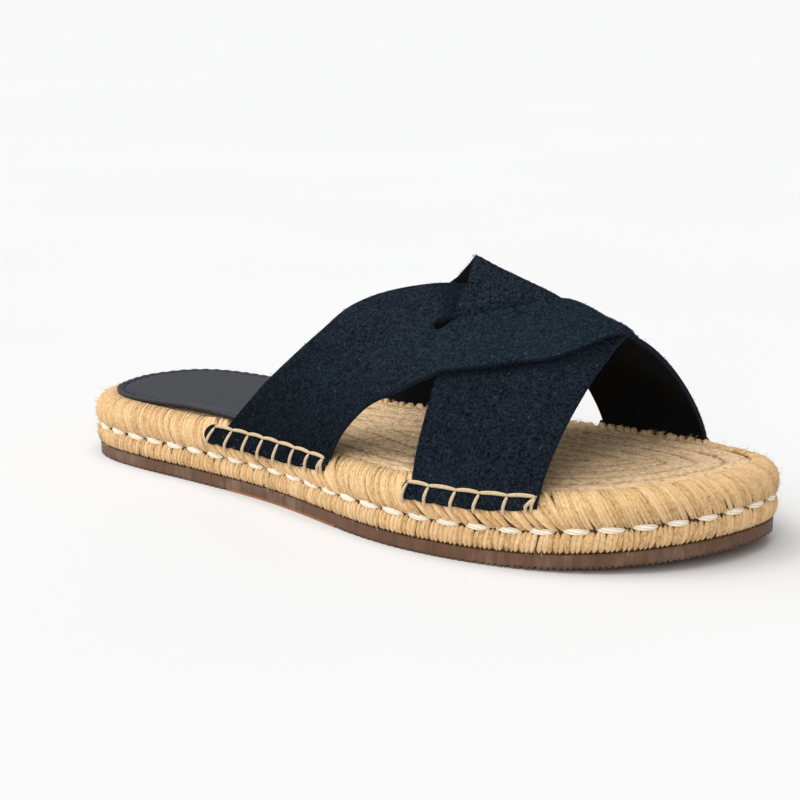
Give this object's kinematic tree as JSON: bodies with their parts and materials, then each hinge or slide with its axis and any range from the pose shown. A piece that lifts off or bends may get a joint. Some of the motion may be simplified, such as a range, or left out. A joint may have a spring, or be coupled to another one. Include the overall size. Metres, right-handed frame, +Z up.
{
  "type": "cross-strap sandal",
  "caption": "Flat slip-on sandal for the right foot: crossed suede straps through a slit, braided jute sole with stitched edges, leather heel pad, rubber outsole.",
  "frame": {"origin": "middle of the overall box at the ground plane", "axes": "+Y from heel to toe, +X to the outer side of the right foot, +Z up"},
  "size_m": [0.1174, 0.2846, 0.0899],
  "materials": {
    "gum_rubber": "matt caramel gum rubber",
    "jute": "braided natural jute",
    "navy_leather": "smooth matt leather",
    "navy_suede": "dark navy suede with a short nap"
  },
  "bodies": {
    "root": {"outsole": "gum_rubber", "jute_midsole": "jute", "heel_sock": "navy_leather", "upper": "navy_suede"}
  },
  "joints": []
}
